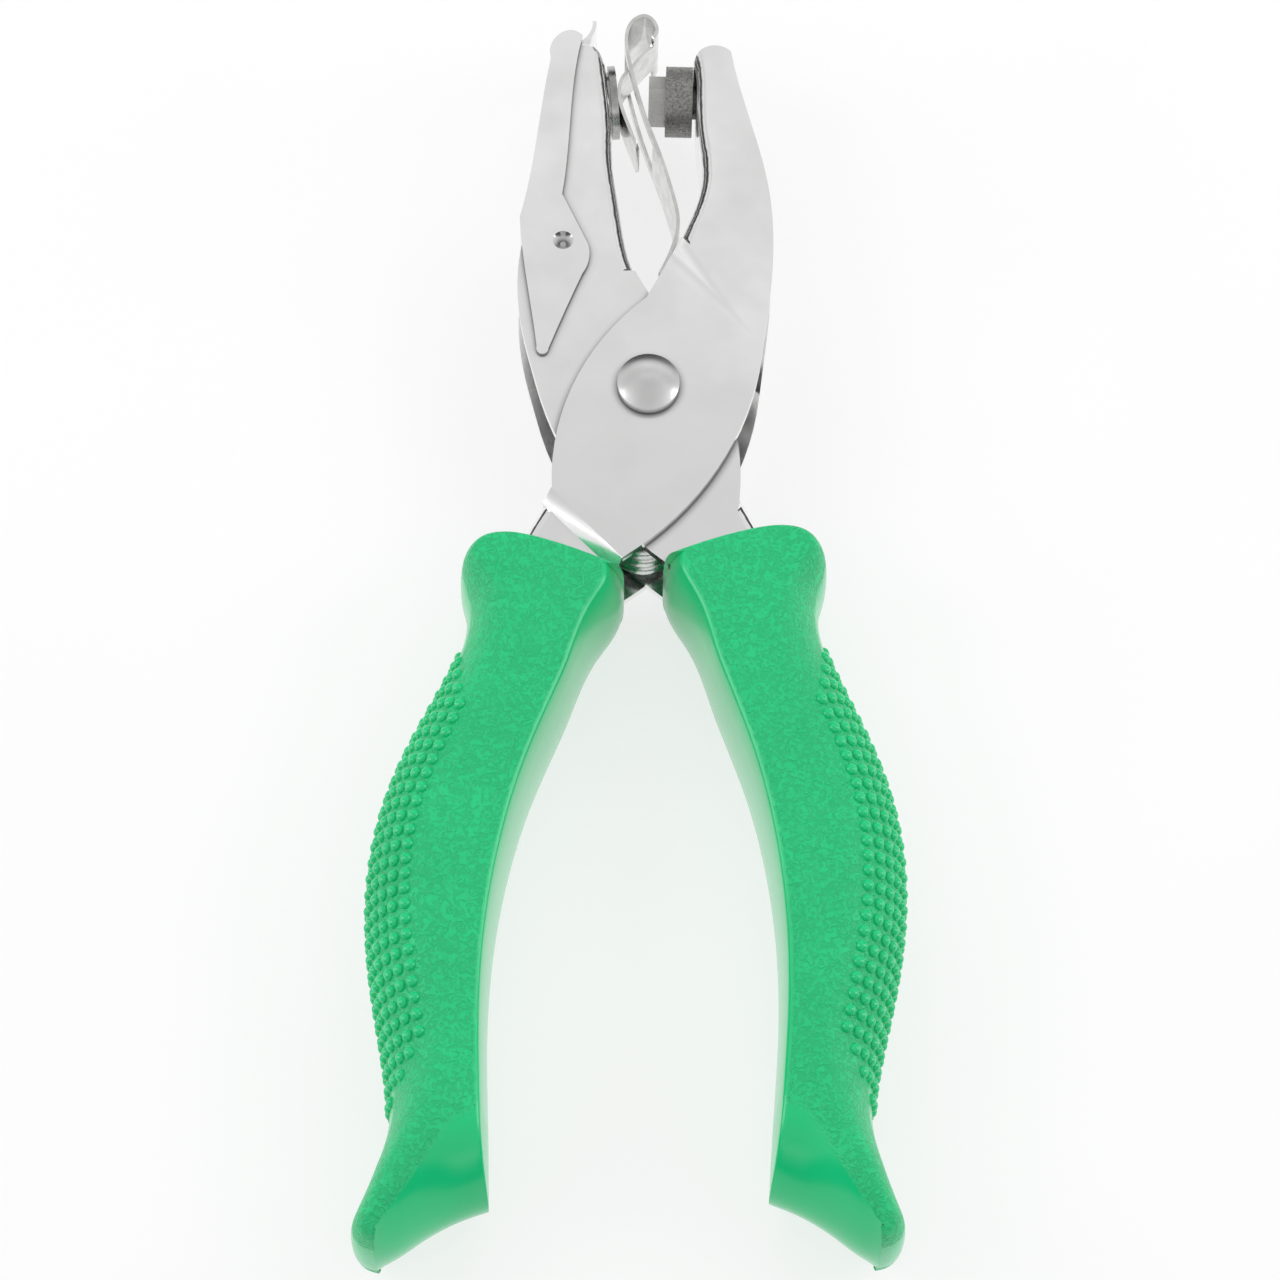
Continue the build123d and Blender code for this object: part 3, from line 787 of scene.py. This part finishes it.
    def close_front(
        self, shape: bmesh.types.BMesh, edge: list[bmesh.types.BMVert], mirror: int, grain: object
    ) -> None:
        """Close the flat front or back face with even triangles."""
        clean = [v for i, v in enumerate(edge) if (v.co - edge[i - 1].co).length > SLEEVE_WELD]
        rim = np.array([v.co[:2] for v in clean])
        inside = self.face_points(rim)
        points = [Vector(p) for p in np.vstack([rim, inside])]
        ring = list(range(len(clean)))
        solved = delaunay_2d_cdt(points, [], [ring], 1, WELD)
        places, _, faces, origins = solved[:4]
        drawn = (np.array([tuple(p) for p in places]) - np.array(PIVOT[:2])) / MM
        drawn[:, 0] *= self.side.value
        drawn[:, 1] -= self.stagger
        flat = np.column_stack([drawn, np.full(len(drawn), mirror * self.half_depth)])
        verts = []
        for spot, origin in zip(self.place(flat), origins):
            known = [i for i in origin if i < len(clean)]
            vert = clean[known[0]] if known else shape.verts.new(spot)
            vert[grain] = 1.0
            verts.append(vert)
        for face in faces:
            corners = [verts[i] for i in face]
            if len(set(corners)) == len(corners):
                shape.faces.new(corners)

    def face_points(self, rim: np.ndarray) -> np.ndarray:
        """A grid of points inside an outline, kept clear of its edge."""
        pitch = self.face_pitch * MM
        low, high = rim.min(axis=0), rim.max(axis=0)
        columns, rows = (np.arange(low[i] + pitch, high[i], pitch) for i in (0, 1))
        after = np.roll(rim, -1, axis=0)
        kept = []
        for x in columns:
            for y in rows:
                spot = np.array([x, y])
                spans = (rim[:, 1] > y) != (after[:, 1] > y)
                run = after[spans] - rim[spans]
                crossing = rim[spans, 0] + (y - rim[spans, 1]) / run[:, 1] * run[:, 0]
                clear = np.linalg.norm(rim - spot, axis=1).min() > 0.5 * pitch
                if clear and np.count_nonzero(crossing > x) % 2:
                    kept.append(spot)
        return np.array(kept)


@dataclass
class Nubs:
    """Rows of small domes on a grip's rounded side."""

    grip: Grip
    radius: float = 0.78
    proud: float = 0.66
    row_pitch: float = 2.1
    first_row: float = -33.6
    last_row: float = -94.2
    column_angles: tuple[float, ...] = (6.5, 18.5, 30.0, 41.5, 53.0, 65.0)
    top_slant: float = 8.0  # how much lower the frontmost column starts
    bottom_slant: float = 6.0  # how much higher it ends
    slant_power: float = 1.6
    outside: float = 20.0  # the domes stand past this X
    segments: int = 12
    levels: int = 7

    def places(self) -> tuple[np.ndarray, np.ndarray]:
        """Where the domes stand and which way they point, drawn for the right grip."""
        line = natural_cubic(self.grip.rim, self.row_pitch)
        inward = inward_normals(line)
        spots, outward = [], []
        for (x, y, width, _), normal in zip(line, inward):
            if x < self.outside:
                continue
            for angle in self.column_angles:
                slant = (angle / self.column_angles[-1]) ** self.slant_power
                high = self.first_row - self.top_slant * slant
                low = self.last_row + self.bottom_slant * slant
                if not low < y < high:
                    continue
                turn = math.radians(angle)
                plan = np.array([x, y]) + normal * width * (1 - math.cos(turn))
                for mirror in (1, -1):
                    spots.append((*plan, mirror * self.grip.half_depth * math.sin(turn)))
                    way = np.array(
                        [
                            *(-normal * math.cos(turn) / width),
                            mirror * math.sin(turn) / self.grip.half_depth,
                        ]
                    )
                    outward.append(way / np.linalg.norm(way))
        return np.array(spots), np.array(outward)

    def empty_tree(self) -> bpy.types.GeometryNodeTree:
        """A Geometry Nodes group with the sockets that the domes need."""
        tree = bpy.data.node_groups.new("grip_nubs", "GeometryNodeTree")
        face = tree.interface
        face.new_socket("Geometry", in_out="INPUT", socket_type="NodeSocketGeometry")
        for name in ("Radius", "Proud"):
            face.new_socket(name, in_out="INPUT", socket_type="NodeSocketFloat")
        face.new_socket("Geometry", in_out="OUTPUT", socket_type="NodeSocketGeometry")
        return tree

    def stamp_domes(self, tree: bpy.types.GeometryNodeTree, start: bpy.types.Node) -> Socket:
        """Put a dome on every point, turned to its outward arrow."""
        nodes, link = tree.nodes, tree.links.new
        ball = nodes.new("GeometryNodeMeshUVSphere")
        ball.inputs["Segments"].default_value = self.segments
        ball.inputs["Rings"].default_value = self.levels
        ball.inputs["Radius"].default_value = 1.0
        size = nodes.new("ShaderNodeCombineXYZ")
        for axis in ("X", "Y"):
            link(start.outputs["Radius"], size.inputs[axis])
        link(start.outputs["Proud"], size.inputs["Z"])
        arrow = nodes.new("GeometryNodeInputNamedAttribute")
        arrow.data_type = "FLOAT_VECTOR"
        arrow.inputs["Name"].default_value = "outward"
        turn = nodes.new("FunctionNodeAlignRotationToVector")
        turn.axis = "Z"
        link(arrow.outputs["Attribute"], turn.inputs["Vector"])
        stamp = nodes.new("GeometryNodeInstanceOnPoints")
        link(start.outputs["Geometry"], stamp.inputs["Points"])
        link(ball.outputs["Mesh"], stamp.inputs["Instance"])
        link(turn.outputs["Rotation"], stamp.inputs["Rotation"])
        link(size.outputs["Vector"], stamp.inputs["Scale"])
        return stamp.outputs["Instances"]

    def tree(self, plastic: bpy.types.Material) -> bpy.types.GeometryNodeTree:
        """Geometry Nodes that turn points into real, smooth, painted domes."""
        tree = self.empty_tree()
        nodes, link = tree.nodes, tree.links.new
        start = nodes.new("NodeGroupInput")
        end = nodes.new("NodeGroupOutput")
        real = nodes.new("GeometryNodeRealizeInstances")
        link(self.stamp_domes(tree, start), real.inputs["Geometry"])
        soft = nodes.new("GeometryNodeSetShadeSmooth")
        link(real.outputs["Geometry"], soft.inputs["Geometry"])
        coat = nodes.new("GeometryNodeSetMaterial")
        coat.inputs["Material"].default_value = plastic
        link(soft.outputs["Geometry"], coat.inputs["Geometry"])
        link(coat.outputs["Geometry"], end.inputs["Geometry"])
        return tree

    def build(self, finishes: Finishes) -> None:
        """Make the domes of one grip as a plain mesh."""
        spots, outward = self.places()
        outward[:, 0] *= self.grip.side.value
        mesh = bpy.data.meshes.new("nub_places")
        mesh.from_pydata([tuple(p) for p in self.grip.place(spots)], [], [])
        arrows = mesh.attributes.new("outward", "FLOAT_VECTOR", "POINT")
        arrows.data.foreach_set("vector", outward.astype(np.float32).ravel())
        seeds = new_object("nub_places", mesh)
        maker = seeds.modifiers.new("nubs", "NODES")
        maker.node_group = self.tree(finishes.plastic)
        sizes = {"Radius": self.radius * MM, "Proud": self.proud * MM}
        for item in maker.node_group.interface.items_tree:
            if item.in_out == "INPUT" and item.name in sizes:
                maker[item.identifier] = sizes[item.name]
        view = bpy.context.evaluated_depsgraph_get()
        plain = bpy.data.meshes.new_from_object(seeds.evaluated_get(view))
        seeds.modifiers.remove(maker)
        bpy.data.objects.remove(seeds)
        piece = new_object(self.grip.node + "_nubs", plain)
        finish_piece(piece, finishes.plastic, self.grip.body)


# ---------------------------------------------------------------- metalwork


@dataclass
class Copy:
    """A welded copy of a CAD node, for shading."""

    node: str
    slot: str
    sharp: float = 30.0  # degrees past which an edge stays sharp
    merge_flats: bool = True
    flat_angle: float = 0.3  # degrees: faces closer than this to one plane are merged

    def build(self, material: bpy.types.Material) -> bpy.types.Object:
        """Make the copy in place of the node, with its material."""
        shape = bmesh.new()
        shape.from_mesh(frame["nodes"][self.node].data)
        bmesh.ops.remove_doubles(shape, verts=shape.verts, dist=WELD)
        if self.merge_flats:
            limit = math.radians(self.flat_angle)
            bmesh.ops.dissolve_limit(
                shape, angle_limit=limit, verts=shape.verts, edges=shape.edges
            )
        piece = bmesh_object(self.node + "_metal", shape, self.sharp)
        self.settle_normals(piece)
        paint(piece.data, material)
        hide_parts(self.node)
        log.info("%s: %d faces", piece.name, len(piece.data.polygons))
        return piece

    def settle_normals(self, piece: bpy.types.Object) -> None:
        """Let the large flat faces decide the shading, so that only the bends look round."""
        weigher = piece.modifiers.new("flat_faces_first", "WEIGHTED_NORMAL")
        weigher.weight = 100
        weigher.keep_sharp = True
        view = bpy.context.evaluated_depsgraph_get()
        settled = bpy.data.meshes.new_from_object(piece.evaluated_get(view))
        piece.modifiers.remove(weigher)
        piece.data = settled


@dataclass
class Metalwork:
    """Levers, cover, springs, punch, die and rivets."""

    strip_anchor: Triple = (4.9, 45.3, 0.0)
    strip_keep: float = 0.42  # share of the strip's width left with the jaws closed
    coil_height: float = -17.2
    coil_reach: float = 3.0
    spring_sharp: float = 40.0

    def build(self, finishes: Finishes) -> None:
        """Build or dress every metal piece."""
        pressings = (
            ("punch_lever", Body.PUNCH, "plated_sheet", finishes.plate),
            ("die_lever", Body.DIE, "plated_sheet", finishes.plate),
            ("chip_cover", Body.COVER, "plated_cover", finishes.cover),
        )
        for node, body, slot, material in pressings:
            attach(Copy(node, slot).build(material), body.value)
        self.dress_springs(finishes)
        self.dress_nodes(finishes)

    def dress_springs(self, finishes: Finishes) -> None:
        """Dress the stripper spring, fixed to the punch side, and the return coil."""
        sharp = self.spring_sharp
        strip = Copy("stripper_spring", "spring_strip", sharp, False).build(finishes.strip)
        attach(strip, Body.PUNCH.value)
        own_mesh(strip)
        coil = Copy("return_spring", "spring_wire", sharp, False).build(finishes.wire)
        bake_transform(coil)

    def dress_nodes(self, finishes: Finishes) -> None:
        """Give the CAD pieces that keep their own shape their materials."""
        chosen = {
            "punch": finishes.sintered,
            "die": finishes.ground,
            "pivot_rivet": finishes.rivet,
            "pivot_sleeve": finishes.rivet,
            "stripper_rivet": finishes.rivet,
        }
        for node, material in chosen.items():
            paint(frame["nodes"][node].data, material)
            log.info("%s: finish %s", node, material.name)


# ---------------------------------------------------------------- studio


# how far up a direction points, 0 at the horizon and 1 overhead, and the tent's light there
TENT_BANDS = (
    (0.0, 0.4),
    (0.05, 0.05),
    (0.38, 0.08),
    (0.48, 0.8),
    (0.6, 1.0),
    (0.74, 0.78),
    (0.865, 1.0),
    (0.90, 0.84),
    (1.0, 0.8),
)


@dataclass(frozen=True)
class SoftBox:
    """One rectangular lamp, aimed at the middle of the shared frame."""

    name: str
    place: Triple
    wide: float
    long: float
    watts: float
    in_reflections: bool = True

    def hang(self) -> None:
        """Add the lamp to the scene."""
        lamp = bpy.data.lights.new(self.name, "AREA")
        lamp.shape = "RECTANGLE"
        lamp.size, lamp.size_y = self.wide * MM, self.long * MM
        lamp.energy = self.watts
        lamp_object = bpy.data.objects.new(self.name, lamp)
        spot = Vector(self.place) * MM
        lamp_object.location = spot
        lamp_object.rotation_euler = (-spot).to_track_quat("-Z", "Y").to_euler()
        lamp_object.visible_glossy = self.in_reflections
        bpy.context.scene.collection.objects.link(lamp_object)


SOFT_BOXES = (
    SoftBox("jaw_box", (0.0, 640.0, 380.0), 1000.0, 560.0, 2.3, in_reflections=False),
    SoftBox("handle_box", (0.0, -620.0, 330.0), 700.0, 300.0, 0.25),
    SoftBox("left_box", (-650.0, 0.0, 300.0), 300.0, 700.0, 2.0),
    SoftBox("right_box", (650.0, 60.0, 300.0), 300.0, 700.0, 2.0),
)


@dataclass
class Studio:
    """Floor, lights and camera."""

    tilt: float = 24.0  # degrees that the camera leans towards the handles
    roll: float = 1.37
    distance: float = 600.0
    lens: float = 136.0
    sensor: float = 36.0
    target: Triple = (-0.29, -31.64, 0.0)
    floor_size: float = 6.0  # metres
    floor_dark: float = 0.23
    floor_light: float = 0.25
    table_glow: float = 0.73
    tent_strength: float = 0.96
    tent_scale: float = 1.6
    tent_low: float = 0.80  # brightness of the tent's dimmer patches

    def build(self) -> None:
        """Set up everything that isn't part of the tool."""
        self.floor()
        self.world()
        for soft_box in SOFT_BOXES:
            soft_box.hang()
        self.camera()

    def floor(self) -> None:
        """A plain pale floor that glows a little, as a light table does."""
        half = self.floor_size / 2
        mesh = bpy.data.meshes.new("studio_floor")
        corners = [(-half, -half, 0), (half, -half, 0), (half, half, 0), (-half, half, 0)]
        mesh.from_pydata(corners, [], [(0, 1, 2, 3)])
        recipe = Recipe("studio_floor_paint")
        tone = recipe.noise(recipe.millimetres(), 0.02, detail=2.0)
        paper = recipe.mix(tone, (self.floor_dark,) * 3, (self.floor_light,) * 3)
        recipe.feed(recipe.shader.inputs["Base Color"], paper)
        recipe.shader.inputs["Roughness"].default_value = 0.9
        recipe.shader.inputs["Specular IOR Level"].default_value = 0.1
        recipe.shader.inputs["Emission Color"].default_value = (1.0, 1.0, 1.0, 1.0)
        recipe.shader.inputs["Emission Strength"].default_value = self.table_glow
        mesh.materials.append(recipe.material)
        new_object("studio_floor", mesh)

    def world(self) -> None:
        """A light tent: bright above, with a darker band low down for the plating to show."""
        world = bpy.data.worlds.new("light_tent")
        bpy.context.scene.world = world
        world.use_nodes = True
        tree = world.node_tree
        sky = tree.nodes["Background"]
        way = tree.nodes.new("ShaderNodeTexCoord").outputs["Generated"]
        product = tree.nodes.new("ShaderNodeMix")
        product.data_type, product.blend_type = "RGBA", "MULTIPLY"
        product.inputs[0].default_value = 1.0
        tree.links.new(self.tent_bands(tree, way), product.inputs[COLOUR_A])
        tree.links.new(self.tent_patches(tree, way), product.inputs[COLOUR_B])
        tree.links.new(product.outputs[2], sky.inputs["Color"])
        sky.inputs["Strength"].default_value = self.tent_strength

    def tent_bands(self, tree: bpy.types.ShaderNodeTree, way: Socket) -> Socket:
        """The tent's light by how far up a direction points."""
        split = tree.nodes.new("ShaderNodeSeparateXYZ")
        ramp = tree.nodes.new("ShaderNodeValToRGB")
        tree.links.new(way, split.inputs[0])
        tree.links.new(split.outputs["Z"], ramp.inputs["Fac"])
        bands = ramp.color_ramp.elements
        while len(bands) < len(TENT_BANDS):
            bands.new(0.5)
        for band, (place, level) in zip(bands, TENT_BANDS):
            band.position = place
            band.color = (level, level, level, 1)
        return ramp.outputs["Color"]

    def tent_patches(self, tree: bpy.types.ShaderNodeTree, way: Socket) -> Socket:
        """Soft patches that dim the tent a little here and there."""
        uneven = tree.nodes.new("ShaderNodeTexNoise")
        uneven.inputs["Scale"].default_value = self.tent_scale
        uneven.inputs["Detail"].default_value = 1.0
        tree.links.new(way, uneven.inputs["Vector"])
        spread = tree.nodes.new("ShaderNodeMapRange")
        low, high = NOISE_SPAN
        numbers = {"From Min": low, "From Max": high, "To Min": self.tent_low, "To Max": 1.0}
        for name, value in numbers.items():
            spread.inputs[name].default_value = value
        tree.links.new(uneven.outputs[0], spread.inputs["Value"])
        return spread.outputs["Result"]

    def camera(self) -> None:
        """Look down from the handles' side, leaning from straight above."""
        lean, roll = math.radians(self.tilt), math.radians(self.roll)
        right = Vector((1, 0, 0))
        up = Vector((0, math.cos(lean), math.sin(lean)))
        back = Vector((0, -math.sin(lean), math.cos(lean)))
        rolled_right = right * math.cos(roll) + up * math.sin(roll)
        rolled_up = up * math.cos(roll) - right * math.sin(roll)
        data = bpy.data.cameras.new("studio_camera")
        data.sensor_width = self.sensor
        data.lens = self.lens
        camera = bpy.data.objects.new("studio_camera", data)
        spot = Vector(to_frame(np.array(self.target))) + back * self.distance * MM
        turn = Matrix((rolled_right, rolled_up, back)).transposed()
        camera.matrix_world = Matrix.Translation(spot) @ turn.to_4x4()
        bpy.context.scene.collection.objects.link(camera)
        bpy.context.scene.camera = camera
        bpy.context.scene.view_settings.view_transform = "Standard"


def main() -> None:
    """Build the tool and its studio."""
    logging.basicConfig(level=logging.INFO, format="%(name)s %(message)s")
    finishes = mix_finishes()
    Metalwork().build(finishes)
    grips = [
        Grip(Side.LEFT, Body.PUNCH, "punch_lever_grip", -GRIP_STAGGER),
        Grip(Side.RIGHT, Body.DIE, "die_lever_grip", GRIP_STAGGER),
    ]
    for grip in grips:
        grip.build(finishes)
        Nubs(grip).build(finishes)
    Studio().build()


if __name__ == "__main__":
    main()
